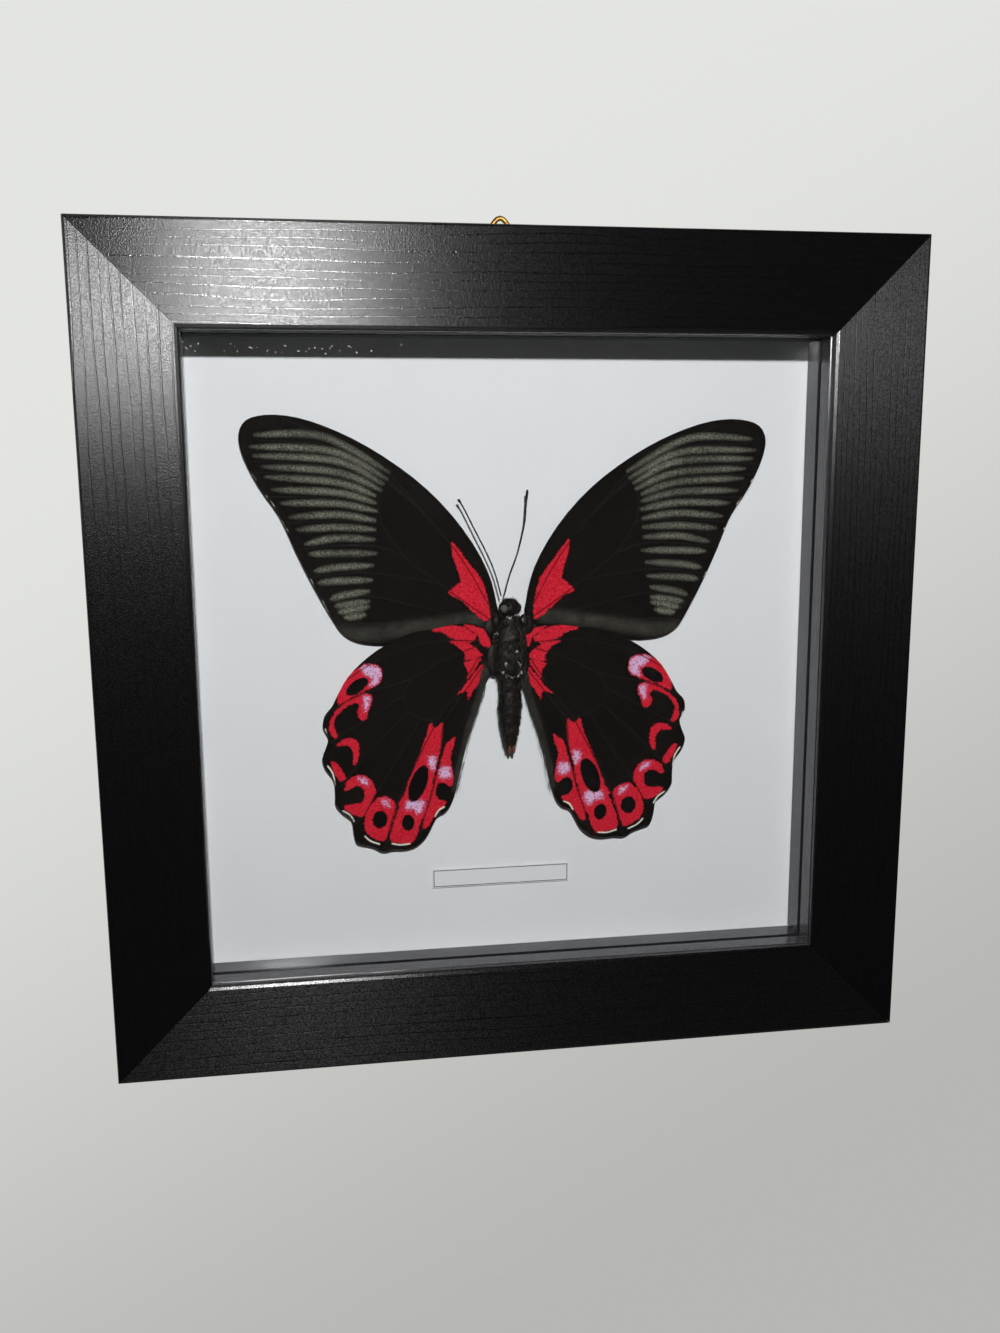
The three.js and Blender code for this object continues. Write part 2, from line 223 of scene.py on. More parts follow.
def rail_finish(side, number):
    """Black lacquered wood with fine pressed grain lines that run along the rail."""
    level = side in ("top", "bottom")
    finish = Finish(f"rail_{side}_lacquer", Specular_IOR_Level=0.5, Anisotropic=RAIL_ANISOTROPY)
    across_grain = (0, 0.3, 1) if level else (1, 0.3, 0)
    finish.set(Tangent=finish.node("CombineXYZ", dict(enumerate(across_grain))))
    shift = (GRAIN_SHIFT[0] * number, 0, GRAIN_SHIFT[1] * number)
    where = finish.node("VectorMath", {0: finish.spot(), 1: shift}, operation="ADD")
    across = finish.node("SeparateXYZ", {0: where}, out="Z" if level else "X")

    def streaks(per_mm, length, detail=2):
        """Noise drawn out along the grain, length times as long as it is wide."""
        stretch = (1 / length, 1, 1) if level else (1, 1, 1 / length)
        drawn = finish.node("Mapping", {"Vector": where, "Scale": stretch})
        return finish.node("TexNoise", {"Vector": drawn, "Scale": per_mm, "Detail": detail})

    slow = finish.times(streaks(0.12, 9, 1), SLOW_WANDER)
    quick = finish.times(streaks(0.3, 8, 1), QUICK_WANDER)
    wander = finish.plus(slow, quick)
    count = finish.plus(finish.math("DIVIDE", across, GRAIN_SPACING[side]), wander)
    off_line = finish.gap(finish.math("FRACT", count), 0.5)
    groove = finish.step(off_line, 0.10, 0.035)
    # The lines run out and start again
    present = finish.step(streaks(0.35, 14), 0.34, 0.56)
    groove = finish.times(groove, finish.times(present, GROOVE_CUT[side]))
    pores = streaks(2.6, 8)
    sand = finish.noise(SAND_PER_MM, detail=1, rough=0.7)
    height = finish.minus(finish.times(pores, PORE_HEIGHT), groove)
    height = finish.plus(height, finish.times(sand, SAND_HEIGHT))
    finish.bump(height, GRAIN_DEPTH[side])
    dull, bright = (roughness - RAIL_POLISH[side] for roughness in SAND_ROUGHNESS)
    polish = finish.times(finish.step(off_line, 0.07, 0.04), present)
    polish = finish.times(polish, GROOVE_POLISH[side])
    roughness = finish.minus(finish.step(sand, 0.38, 0.60, dull, bright), polish)
    lip = lip_cover(finish)
    colour = finish.between(pores, RAIL_BLACK)
    # The inner walls take a paler grey as painted light, together with their own smooth roughness
    finish.set(Base_Color=finish.mix(lip, colour, linear(*PAINTED_LIP_LIGHT)),
               Roughness=finish.mix(lip, roughness, LIP_ROUGHNESS))
    return finish


def lip_cover(finish):
    """One on the rails' smooth inner walls, nought elsewhere."""
    opening = -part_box("rail_left")[1].x / MM
    away = finish.node("VectorMath", {0: finish.spot(), 1: (0, 0, -MIDDLE_Z / MM)}, operation="ADD")
    apart = [finish.math("ABSOLUTE", finish.node("SeparateXYZ", {0: away}, out=axis))
             for axis in "XZ"]
    return finish.step(finish.math("MAXIMUM", *apart), opening + 0.3, opening + 0.1)


def dress_rails():
    for number, side in enumerate(SIDES):
        dress(f"rail_{side}", rail_finish(side, number))


def dress_spacers():
    finish = Finish("spacer_black", Roughness=0.12, Specular_IOR_Level=0.5)
    dust = finish.step(finish.noise(2.2, detail=4), 0.62, 0.7)
    finish.set(Base_Color=finish.between(dust, SPACER_BLACK))
    for side in SIDES:
        dress(f"spacer_{side}", finish)


def dress_glass():
    finish = Finish("clear_glass", Base_Color=(0.97, 0.985, 0.98), Roughness=0.0, IOR=1.5,
                    Transmission_Weight=1.0)
    dress("glass_pane", finish)
    # Lamps light the box past the pane, so bounced light passes it too and no lamp counts twice
    nodes["glass_pane"].visible_shadow = False
    nodes["glass_pane"].visible_diffuse = False


def dress_boards():
    board = Finish("mount_board_white", Roughness=0.8, Specular_IOR_Level=0.1)
    board.set(Base_Color=board.mix(board.noise(0.05, detail=2), *BOARD_WHITE))
    board.bump(board.noise(6, detail=4), 0.012, 0.5)
    dress("mount_board", board)
    panel = Finish("fibreboard", Roughness=0.8, Specular_IOR_Level=0.25)
    fibres = panel.noise(1.4, detail=6, stretch=(1, 1, 0.4), rough=0.65)
    panel.set(Base_Color=panel.between(fibres, FIBREBOARD_BROWN))
    panel.bump(fibres, 0.08, 0.6)
    dress("back_panel", panel)


def metal_finish(name, colours, roughness):
    """Metal that is worn duller and paler in places."""
    finish = Finish(name, Metallic=1.0)
    wear = finish.noise(1.1, detail=5, rough=0.6)
    finish.set(Base_Color=finish.between(wear, colours),
               Roughness=finish.step(wear, 0.3, 0.75, roughness, roughness + 0.2))
    finish.bump(finish.noise(7, detail=3), 0.02, 0.4)
    return finish


def dress_hanger():
    brass = metal_finish("brass", BRASS, 0.25)
    steel = metal_finish("steel", STEEL, 0.3)
    for name in ("hanging_ring", "hanger_strap"):
        dress(name, brass)
    dress("hanger_screw", steel)
    for side in SIDES:
        dress(f"back_point_{side}_a", steel)
        dress(f"back_point_{side}_b", steel)


# Left forewing markings, in mm on the wing as set. A pale stripe is [outer end, middle, inner end].
FOREWING_STRIPES = (
    ((-61, 54), (-45, 53.6), (-29.5, 45.2)), ((-62, 51.3), (-43, 50.2), (-30, 43.6)),
    ((-61.3, 49.2), (-42, 47.9), (-31, 42.4)), ((-59.4, 46.7), (-42, 45.3), (-31.6, 41)),
    ((-58.9, 44.3), (-42, 42.9), (-33, 39.7)), ((-57.4, 41.3), (-42, 40.5), (-33, 38)),
    ((-55.4, 38.1), (-42, 37.9), (-32.8, 36)), ((-53.5, 34.8), (-42, 35.3), (-33.2, 33.8)),
    ((-51.9, 31.8), (-42.3, 32.3), (-33.3, 31.6)), ((-50, 28.4), (-42.4, 29.7), (-33.4, 29.2)),
    ((-49.2, 26), (-42.5, 26.1), (-33, 25.9)), ((-48, 21.9), (-42.6, 22.7), (-34, 23)),
    ((-47.2, 19), (-42.7, 19.4), (-34.3, 19.5)), ((-44.4, 15), (-41, 16), (-35.1, 16.8)),
    ((-43.4, 13.3), (-39.5, 13.8), (-35.1, 14.3)), ((-42.6, 11.8), (-39, 12.4), (-35.2, 13)),
    ((-41.2, 10.5), (-39, 10.7), (-36.1, 11.1)),
)
# A stripe's half width, in mm, at these shares of its length
STRIPE_ALONG = (0, 0.15, 0.35, 0.75, 1)
STRIPE_HALF_WIDTHS = (0, 0.46, 0.6, 0.58, 0.12)
FOREWING_RED = (
    ((-14.5, 28.3), (-12.9, 26.7), (-10.6, 23.5), (-8.3, 20.7), (-6.7, 17.9), (-5.6, 13.8), (-5.2, 8.7),
     (-7.5, 9.4), (-10.3, 12), (-13, 14.4), (-15.6, 15.8), (-13.5, 17.9), (-12.5, 19), (-13.4, 22.2),
     (-14.4, 25.4)),
)
FOREWING_VEINS = (
    ((-4, 10), (-12, 24), (-22, 36), (-31, 43.5)), ((-5, 9), (-16, 17), (-26, 25), (-31.5, 33)),
    ((-31, 43.5), (-32.2, 38), (-31.5, 33)), ((-20, 34), (-30, 45), (-44, 54.5)),
    ((-24, 38), (-36, 48.5), (-52, 57)), ((-31, 43.5), (-42, 51.2), (-60, 52.7)),
    ((-31, 43.5), (-42, 46.6), (-62, 48)), ((-31.5, 41), (-42, 44.1), (-61.5, 45.4)),
    ((-32, 38), (-42, 39.3), (-58.6, 39.6)), ((-31.5, 33), (-42, 33.8), (-54.6, 33.3)),
    ((-26, 25), (-33, 27.6), (-42.4, 27.9), (-52, 27)),
    ((-18, 18.5), (-34, 21.2), (-42.6, 21), (-49, 20.4)),
    ((-6, 8.5), (-20, 12), (-35, 15.5), (-46, 14)), ((-6, 7.5), (-20, 8), (-36, 9), (-43, 8.5)),
)

# Left hindwing markings
HINDWING_RED = (
    ((-19.9, 6.9), (-16.4, 8), (-11.9, 7.5), (-9.9, 6.2), (-8.7, 5.2), (-9.5, 4), (-11.1, 3.6),
     (-13.2, 4.1), (-15.2, 4.9), (-17.2, 6.2)),
    ((-11.9, 8.1), (-8.2, 7.4), (-6.2, 5.9), (-5, 2.6), (-6.6, 2.5), (-7.9, 3.5), (-8.5, 5.4),
     (-10.3, 6.8)),
    ((-15.6, 4.1), (-12.4, 3.9), (-9.5, 2.8), (-7.7, 0.9), (-7.5, 0.2), (-11.6, -0.9), (-11.8, 0.8),
     (-13.2, 2.5)),
    ((-11.8, -1.3), (-7.9, -0.2), (-8.3, -1.8), (-10, -4.2), (-11.2, -5.6), (-11, -3.7),
     (-11.8, -2.1)),
    ((-7.3, -1.8), (-7.1, -3.5), (-7.9, -5.9), (-10, -9.1), (-10.9, -10.8), (-11.5, -8.7),
     (-13.8, -9.4), (-12.5, -7.8), (-10.8, -5.8), (-8.8, -3.4)),
    ((-38, -1.7), (-40.8, -4), (-42.9, -6.8), (-43.6, -10), (-43, -10.8), (-41, -9.7),
     (-39, -8.5), (-36.5, -7.6), (-34.5, -6.7), (-32.8, -5.5), (-32.3, -3.5), (-33.2, -1.6),
     (-36, -0.9)),
    ((-37.3, -8.2), (-35.3, -8.7), (-35, -10.3), (-35.9, -12.7), (-36.7, -14.8), (-38.1, -14.7),
     (-38.7, -13), (-38.2, -11.4), (-39, -10.6), (-41, -11.3), (-43.1, -12.9), (-44.4, -14.9),
     (-44.4, -16.9), (-43.7, -18.6), (-44.3, -19.4), (-45.7, -17.7), (-45.4, -14.8), (-44.3, -12.8),
     (-42.2, -10.9), (-39.8, -9.3)),
    ((-44.1, -21.1), (-42.9, -19.9), (-41.3, -19.3), (-39.3, -19.8), (-38.5, -21.3), (-38.6, -23.8),
     (-39.2, -25.8), (-40.3, -26.2), (-40, -24.1), (-40.5, -22), (-41.7, -21.2), (-43.4, -21.3)),
    ((-45.7, -25.5), (-44.5, -25.2), (-42.7, -27.7), (-42, -29.4), (-43.2, -30.2), (-44.2, -29.3)),
    ((-42.5, -32.8), (-42, -30.7), (-40.3, -29.1), (-37.9, -28.8), (-35.9, -30.1), (-34.7, -32.7),
     (-35, -34.4), (-36.5, -37.3), (-37.8, -39.3), (-39.8, -39.2), (-42.2, -37.8), (-42.6, -36.5),
     (-40.5, -36.2), (-38.5, -35.9), (-37.6, -34.3), (-38, -32.1), (-39.6, -31.6), (-41.2, -32.4)),
    ((-34.8, -35.2), (-32.7, -34.5), (-30.7, -35.4), (-29.6, -36.8), (-30.1, -39.3), (-31.8, -44.3),
     (-32.8, -46), (-34.6, -45.8), (-37.1, -44), (-37.8, -41.4), (-36.9, -38.1)),
    ((-27.4, -36), (-25.3, -35.7), (-22, -36.3), (-22.1, -38.8), (-23.8, -42.6), (-24.3, -44.7),
     (-26, -47.2), (-28.9, -47), (-31.3, -46), (-30.7, -42.6), (-29.2, -38.5)),
    ((-20.7, -16.4), (-19.4, -17.5), (-17.6, -16.3), (-17.6, -19.7), (-18.3, -23.4), (-19.6, -28.8),
     (-20.7, -33.8), (-21.8, -36.7), (-24, -38), (-29, -37.2), (-27.8, -34.7), (-25.4, -28.5),
     (-23.5, -24), (-21.7, -19.5)),
    ((-14.3, -19.8), (-15.2, -20.6), (-16.8, -21.8), (-17.7, -24.7), (-18.6, -27.6), (-19.7, -30.9),
     (-20.6, -34.7), (-22.1, -38.8), (-23, -43), (-21.7, -43.1), (-19.6, -39.8), (-17.1, -37.4),
     (-17, -36.5), (-18.7, -36), (-19.5, -34.3), (-18.6, -31.8), (-15.7, -32.8), (-14.9, -30.7),
     (-15.3, -27.7), (-15.6, -25.2), (-14.8, -22.3)),
)
# Black spots in the red, as (x, z, half length, half width, tilt in degrees from upright)
HINDWING_SPOTS = (
    (-38.6, -6.5, 3.2, 1.5, 56), (-33.8, -40.5, 2.3, 1.9, 8),
    (-26.7, -41.7, 2.1, 1.6, 0), (-23.9, -31.7, 4.9, 2.1, 21),
    (-17.8, -33.8, 2.1, 1.6, 0),
)
# Where lilac scales are dusted over the red
HINDWING_LILAC = (
    ((-38, -1.5), (-36, -0.9), (-33.2, -1.6), (-32.3, -3.5), (-32.8, -5.5), (-34.5, -6.7),
     (-35.8, -6.4), (-35.2, -4.6), (-36.6, -4)),
    ((-37.3, -8.6), (-35.5, -9), (-35.2, -10.3), (-36.2, -12.6), (-37.2, -12.6), (-37.3, -10.6)),
    ((-26.8, -35.8), (-22.5, -36), (-22.6, -38.6), (-24.2, -39.8), (-25.4, -38.6), (-27.4, -38.4)),
    ((-21.4, -24.9), (-19.2, -24.9), (-19.6, -28.6), (-21.2, -27.6)),
    ((-18.6, -28), (-16, -27.4), (-15.4, -30.2), (-17, -31), (-18.6, -30.4)),
    ((-39.4, -29.4), (-37, -29.6), (-36.3, -31.6), (-38, -31.2)),
    ((-33.6, -35.4), (-31.6, -35.4), (-31, -37.4), (-32.6, -37.2)),
)
# Short cream marks on the wings' edges
HINDWING_LUNULES = (
    ((-46.7, -16.9), (-46.5, -18.4)), ((-46.4, -26.2), (-45.2, -28.2), (-44.8, -31)),
    ((-43, -37.8), (-41.3, -38.9), (-40.3, -40.6)), ((-37.7, -44.6), (-36.2, -46), (-34, -46.9)),
    ((-30.9, -46.9), (-28.8, -47.4), (-26.4, -47.2)), ((-17.4, -38), (-18.8, -38.8), (-19.8, -40.4)),
)
FOREWING_LUNULES = (
    ((-62, 45.1), (-61, 43.5)), ((-58.8, 39.9), (-57, 37.4)),
    ((-55.4, 34.1), (-54, 31.5)), ((-49.8, 21.6), (-48.4, 18.7)),
    ((-46.4, 14.8), (-45, 11.9)),
)
HINDWING_VEINS = (
    ((-8, 4), (-20, 4), (-32, 0.5), (-41, -4.6)),
    ((-8, 3), (-18, -1), (-25, -5), (-36, -8), (-43.5, -11.2), (-46.8, -14)),
    ((-25, -5), (-27, -9), (-26, -13), (-23, -15), (-19, -16)),
    ((-27, -9), (-37, -15), (-44.5, -19.6), (-46.2, -20.6)),
    ((-26, -13), (-35, -22), (-42.2, -30), (-44.8, -33)),
    ((-23, -15), (-29, -25), (-34.7, -33.8), (-38, -39.6), (-40.5, -41.6)),
    ((-8, 0), (-14, -9), (-19, -16), (-25.2, -28.1), (-29.5, -37), (-32.3, -46), (-33, -48.5)),
    ((-7, -2), (-13.5, -11), (-17.3, -16.5), (-18.3, -25), (-20.6, -34.8), (-22.4, -40), (-24.3, -47)),
)

# Greyish, hairy bands: along the forewing's hind margin and the hindwing's inner margin
FOREWING_HEM = ((-8, 9.4), (-18, 8.3), (-27, 7.3), (-35, 6.2), (-41.5, 6.6))
HINDWING_HEM = ((-5.6, -3), (-6.6, -8.6), (-8.3, -14), (-9.8, -18.4), (-11.2, -24), (-12.4, -28.6),
                (-13.2, -33.4))

# How the right wings differ from a mirror of the left ones
WING_SETS = {
    "forewing": {
        "right": {"across": 1.018, "up": 1.001, "lean": -0.061, "turn": -2.0, "shift": (0.84, 0.76)},
        "red": FOREWING_RED, "spots": (), "lilac": (), "stripes": FOREWING_STRIPES,
        "lunules": FOREWING_LUNULES, "lunule_half_width": 0.1,
        "veins": FOREWING_VEINS, "hem": FOREWING_HEM,
    },
    "hindwing": {
        "right": {"across": 1.049, "up": 0.989, "lean": 0.069, "turn": 2.34, "shift": (-3.6, -1.13)},
        "red": HINDWING_RED, "spots": HINDWING_SPOTS, "lilac": HINDWING_LILAC, "stripes": (),
        "lunules": HINDWING_LUNULES, "lunule_half_width": 0.2,
        "veins": HINDWING_VEINS, "hem": HINDWING_HEM,
    },
}

# In mm: a wing mesh's spacing and thickness, how deep a vein is pressed in and how far that reaches,
# how far the sheet sways and over what lengths, and a vein's half width
WING_SPACING = 0.34
WING_SHEET = 0.16
PLEAT_DEPTH = 0.10
PLEAT_REACH = 0.8
SWAY_DEPTH = 0.08
SWAY_LENGTHS = (5.5, 7.3)
VEIN_HALF_WIDTH = 0.12
# Markings further off than this, in mm, are out of reach
FAR = 3.0

# Colours of the scales, in 0 to 255, the darker and the paler where there are two
BLACK_SCALES = ((9, 7, 6), (17, 14, 12))
STRAY_SCALES = (40, 36, 32)
HEM_SCALES = ((34, 33, 30), (98, 97, 88))
STRIPE_SCALES = ((42, 43, 37), (144, 144, 130))
RED_SCALES = ((190, 16, 34), (226, 52, 72))
PINK_BLUSH = (196, 78, 118)
LILAC_SCALES = (222, 190, 228)
SPOT_BLACK = (9, 7, 7)
VEIN_ON_RED = (84, 8, 14)
VEIN_ON_BLACK = (46, 44, 44)
LUNULE_CREAM = (232, 228, 214)


def rounded(points, closed, steps=4):
    """A smooth line through the points."""
    points = np.array(points, float)
    count = len(points)
    spans = count if closed else count - 1
    made = []
    for i in range(spans):
        before = points[i - 1] if closed or i > 0 else points[0]
        after = points[(i + 2) % count] if closed or i + 2 < count else points[-1]
        a, b = points[i], points[(i + 1) % count]
        for t in np.arange(steps) / steps:
            made.append(0.5 * (2 * a + (b - before) * t + (2 * before - 5 * a + 4 * b - after) * t ** 2
                               + (3 * a - before - 3 * b + after) * t ** 3))
    if not closed:
        made.append(points[-1])
    return np.array(made)


def line_distance(spots, line, closed=False):
    """How far each spot is from a line, and how far along it the nearest point lies, from 0 to 1."""
    ends = np.roll(line, -1, axis=0) if closed else line[1:]
    starts = line if closed else line[:-1]
    best = np.full(len(spots), 1e9)
    along = np.zeros(len(spots))
    for i, (a, b) in enumerate(zip(starts, ends)):
        ab = b - a
        t = np.clip(((spots - a) @ ab) / max(ab @ ab, 1e-12), 0, 1)
        gap = np.linalg.norm(spots - a - t[:, None] * ab, axis=1)
        nearer = gap < best
        best[nearer] = gap[nearer]
        along[nearer] = (i + t[nearer]) / len(starts)
    return best, along


def inside(spots, ring):
    """Whether each spot lies inside a closed ring of points."""
    x, z = spots[:, 0], spots[:, 1]
    result = np.zeros(len(spots), bool)
    for a, b in zip(ring, np.roll(ring, -1, axis=0)):
        crosses = (a[1] > z) != (b[1] > z)
        if a[1] == b[1]:
            continue
        result ^= crosses & (x < (b[0] - a[0]) * (z - a[1]) / (b[1] - a[1]) + a[0])
    return result


def area_distance(spots, outlines):
    """Distance to the nearest of the outlines in mm, below zero inside one."""
    best = np.full(len(spots), FAR)
    for outline in outlines:
        ring = rounded(outline, closed=True)
        low, high = ring.min(0) - FAR, ring.max(0) + FAR
        near = np.all((spots > low) & (spots < high), axis=1)
        gap, _ = line_distance(spots[near], ring, closed=True)
        gap[inside(spots[near], ring)] *= -1
        best[near] = np.minimum(best[near], gap)
    return best


def strokes_distance(spots, lines, half_width):
    """Distance to the nearest of the strokes in mm, below zero on one.

    half_width is a function of how far along the stroke a spot lies, from 0 to 1.
    """
    best = np.full(len(spots), FAR)
    for line in lines:
        gap, along = line_distance(spots, rounded(line, closed=False, steps=8))
        best = np.minimum(best, gap - half_width(along))
    return best


def spots_distance(spots, ovals):
    """Distance to the nearest of the ovals, roughly in mm, below zero inside one."""
    best = np.full(len(spots), FAR)
    for x, z, long, wide, tilt in ovals:
        angle = radians(tilt)
        away = spots - (x, z)
        up = away @ (sin(angle), cos(angle))
        across = away @ (cos(angle), -sin(angle))
        best = np.minimum(best, (np.hypot(up / long, across / wide) - 1) * sqrt(long * wide))
    return best


def node_outline(name):
    """The outline of a plate's front face, as [x, z] points in mm in the picture frame's axes."""
    mesh = nodes[name].data
    key = [(round(v.co.x / MM, 3), round((v.co.z - MIDDLE_Z) / MM, 3)) for v in mesh.vertices]
    edges = {}
    for face in mesh.polygons:
        if face.normal.y > -0.9:
            continue
        corners = [key[i] for i in face.vertices]
        for a, b in zip(corners, corners[1:] + corners[:1]):
            edges[(a, b)] = True
    follow = {a: b for a, b in edges if (b, a) not in edges}
    start = min(follow)
    ring = [start]
    while follow[ring[-1]] != start:
        ring.append(follow[ring[-1]])
    return np.array(ring)


def resampled(ring, spacing):
    """The same closed ring with its points an even spacing apart."""
    closed = np.vstack([ring, ring[:1]])
    reach = np.concatenate([[0], np.cumsum(np.linalg.norm(np.diff(closed, axis=0), axis=1))])
    count = int(reach[-1] / spacing)
    wanted = np.linspace(0, reach[-1], count, endpoint=False)
    return np.stack([np.interp(wanted, reach, closed[:, i]) for i in (0, 1)], axis=1)


def filled(ring, spacing):
    """Points and triangles that fill a ring evenly. The ring's own points come first."""
    low, high = ring.min(0), ring.max(0)
    rows = np.arange(low[1], high[1], spacing * 0.866)
    columns = np.arange(low[0], high[0], spacing)
    grid = np.array([(x + (i % 2) * spacing / 2, z) for i, z in enumerate(rows) for x in columns])
    grid = grid[inside(grid, ring)]
    gap, _ = line_distance(grid, ring, closed=True)
    points = np.vstack([ring, grid[gap > spacing * 0.6]])
    count = len(ring)
    edges = [(i, (i + 1) % count) for i in range(count)]
    made = delaunay_2d_cdt([Vector(p) for p in points], edges, [list(range(count))], 1, 1e-6)
    return np.array([tuple(p) for p in made[0]]), [tuple(f) for f in made[2]]


def turned_by(degrees, x, z):
    """Points turned anticlockwise about the middle."""
    angle = radians(degrees)
    return np.stack([x * cos(angle) - z * sin(angle),
                     x * sin(angle) + z * cos(angle)], axis=1)


def to_left_wing(points, wing, side):
    """The same place on the left wing, whose markings all wings share."""
    if side == "left":
        return points
    change = WING_SETS[wing]["right"]
    across, up = turned_by(-change["turn"], *(points - change["shift"]).T).T
    up = up / change["up"]
    return np.stack([(change["lean"] * up - across) / change["across"], up], axis=1)


def from_left_wing(points, wing, side):
    """The place on this wing of a point on the left one."""
    if side == "left":
        return points
    change = WING_SETS[wing]["right"]
    x, z = points.T
    across = change["lean"] * z - change["across"] * x
    return turned_by(change["turn"], across, change["up"] * z) + change["shift"]


def wing_attributes(points, wing):
    """What the wing's material reads at each point, mostly distances in mm."""
    marks = WING_SETS[wing]
    stripe = strokes_distance(points, marks["stripes"],
                              lambda t: np.interp(t, STRIPE_ALONG, STRIPE_HALF_WIDTHS))
    vein = strokes_distance(points, marks["veins"], lambda t: VEIN_HALF_WIDTH)
    lunule = strokes_distance(points, marks["lunules"], lambda t: marks["lunule_half_width"])
    hem, _ = line_distance(points, rounded(marks["hem"], closed=False))
    return {
        "red": area_distance(points, marks["red"]),
        "lilac": area_distance(points, marks["lilac"]),
        "black": spots_distance(points, marks["spots"]),
        "stripe": stripe,
        "vein": vein,
        "lunule": lunule,
        "hem": np.minimum(hem, FAR),
    }


def add_mesh(name, vertices, faces, finish, attributes=None, body="frame"):
    """A smooth piece, its points in metres, with each attribute's number on every point."""
    mesh = bpy.data.meshes.new(name)
    mesh.from_pydata([tuple(v) for v in vertices], [], faces)
    mesh.validate()
    for key, values in (attributes or {}).items():
        layer = mesh.attributes.new(key, "FLOAT", "POINT")
        layer.data.foreach_set("value", np.asarray(values, np.float32))
    mesh.polygons.foreach_set("use_smooth", [True] * len(mesh.polygons))
    mesh.materials.append(finish.material)
    piece = bpy.data.objects.new(name, mesh)
    bpy.context.scene.collection.objects.link(piece)
    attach(piece, body)
    return piece


def to_row(x, y, z):
    """Arrays in the picture frame's axes, in mm, as an array of row points in metres."""
    return np.stack([x * MM, FRONT_Y + y * MM, MIDDLE_Z + z * MM], axis=1)


def add_wing(wing, side, finish):
    """A thin sheet in the outline of the wing's plate, with its front, its back and its rim."""
    node = f"{wing}_{side}"
    ring = resampled(node_outline(node), WING_SPACING)
    points, triangles = filled(ring, WING_SPACING)
    attributes = wing_attributes(to_left_wing(points, wing, side), wing)
    low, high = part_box(node)
    middle = ((low.y + high.y) / 2 - FRONT_Y) / MM
    pleat = PLEAT_DEPTH * np.exp(-np.maximum(attributes["vein"], 0) / PLEAT_REACH)
    sway = SWAY_DEPTH * np.sin(points[:, 0] / SWAY_LENGTHS[0]) * np.cos(points[:, 1] / SWAY_LENGTHS[1])
    depth = middle - pleat + sway
    front = to_row(points[:, 0], depth - WING_SHEET / 2, points[:, 1])
    back = to_row(points[:, 0], depth + WING_SHEET / 2, points[:, 1])
    count, border = len(points), len(ring)
    a, b, c = points[list(triangles[0])]
    turned = (b[0] - a[0]) * (c[1] - a[1]) - (b[1] - a[1]) * (c[0] - a[0]) < 0
    faces = []
    for i, j, k in triangles:
        face = (i, k, j) if turned else (i, j, k)
        faces.append(face)
        faces.append(tuple(corner + count for corner in reversed(face)))
    area = sum(p[0] * q[1] - q[0] * p[1] for p, q in zip(ring, np.roll(ring, -1, axis=0)))
    for i in range(border):
        j = (i + 1) % border
        wall = (i, i + count, j + count, j)
        faces.append(wall if area > 0 else tuple(reversed(wall)))
    both = {key: np.concatenate([values, values]) for key, values in attributes.items()}
    piece = add_mesh(node + "_scaled", np.vstack([front, back]), faces, finish, both)
    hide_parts(node)


def wing_finish():
    """Velvet-black scales with soft pale stripes, red patches and a fine lilac dusting."""
    finish = Finish("wing_scales", Roughness=0.8, Specular_IOR_Level=0.04)
    patches = finish.minus(finish.noise(1.7, detail=4, rough=0.7), 0.5)
    ragged = finish.times(patches, 1.1)
    scales = finish.noise(2.1, detail=3, rough=0.85)

    def cover(name, low, high, raggedness=1.0):
        """One on the marking, nought off it, with a ragged edge from low to high, in mm."""
        shift = finish.times(ragged, raggedness)
        return finish.step(finish.plus(finish.attribute(name), shift), high, low)

    def grains(share, soft=0.06):
        """Where single scales take the other colour; share is how many of them do, from 0 to 1."""
        bar = finish.minus(0.66, finish.times(share, 0.22))
        return finish.step(finish.minus(scales, bar), -soft, soft)

    def paint(below, share, strength, colour):
        """Lay a colour over what is below, at a strength from 0 to 1 of its share."""
        return finish.mix(finish.times(share, strength), below, colour)

    colour = finish.between(finish.noise(0.25, detail=3), BLACK_SCALES)
    colour = paint(colour, grains(0.2), 0.5, linear(*STRAY_SCALES))
    hem = finish.step(finish.attribute("hem"), 2.9, 0.2)
    colour = paint(colour, hem, finish.noise(0.3, detail=4), finish.between(scales, HEM_SCALES))
    stripe = cover("stripe", -0.5, 0.62, 0.35)
    faded = finish.step(finish.noise(0.12, detail=2), 0.25, 0.62, 0.55, 1.0)
    stripe = finish.times(stripe, faded)
    sheen = finish.step(finish.noise(2.7, detail=3, rough=0.9), 0.36, 0.64)
    colour = paint(colour, stripe, 0.9, finish.between(sheen, STRIPE_SCALES))
    in_red = cover("red", -0.18, 0.12, 1.5)
    colour = finish.mix(in_red, colour, finish.between(finish.step(scales, 0.35, 0.7), RED_SCALES))
    dusting = finish.times(cover("lilac", -1.0, 0.9), in_red)
    colour = paint(colour, dusting, 0.45, linear(*PINK_BLUSH))
    colour = paint(colour, dusting, grains(dusting, 0.03), linear(*LILAC_SCALES))
    colour = finish.mix(cover("black", -0.15, 0.15), colour, linear(*SPOT_BLACK))
    vein = finish.step(finish.attribute("vein"), 0.14, 0.0)
    colour = paint(colour, vein, finish.times(in_red, 0.75), linear(*VEIN_ON_RED))
    on_black = finish.times(vein, finish.minus(1.0, in_red))
    colour = paint(colour, on_black, 0.25, linear(*VEIN_ON_BLACK))
    colour = finish.mix(cover("lunule", -0.1, 0.1, 0.2), colour, linear(*LUNULE_CREAM))
    finish.set(Base_Color=colour)
    finish.bump(scales, 0.05, 0.6)
    return finish


# The body's middle line, in mm, and its depth as a share of its width
BODY_X = -0.5
BODY_Y = 13.5
BODY_FLATNESS = 0.81
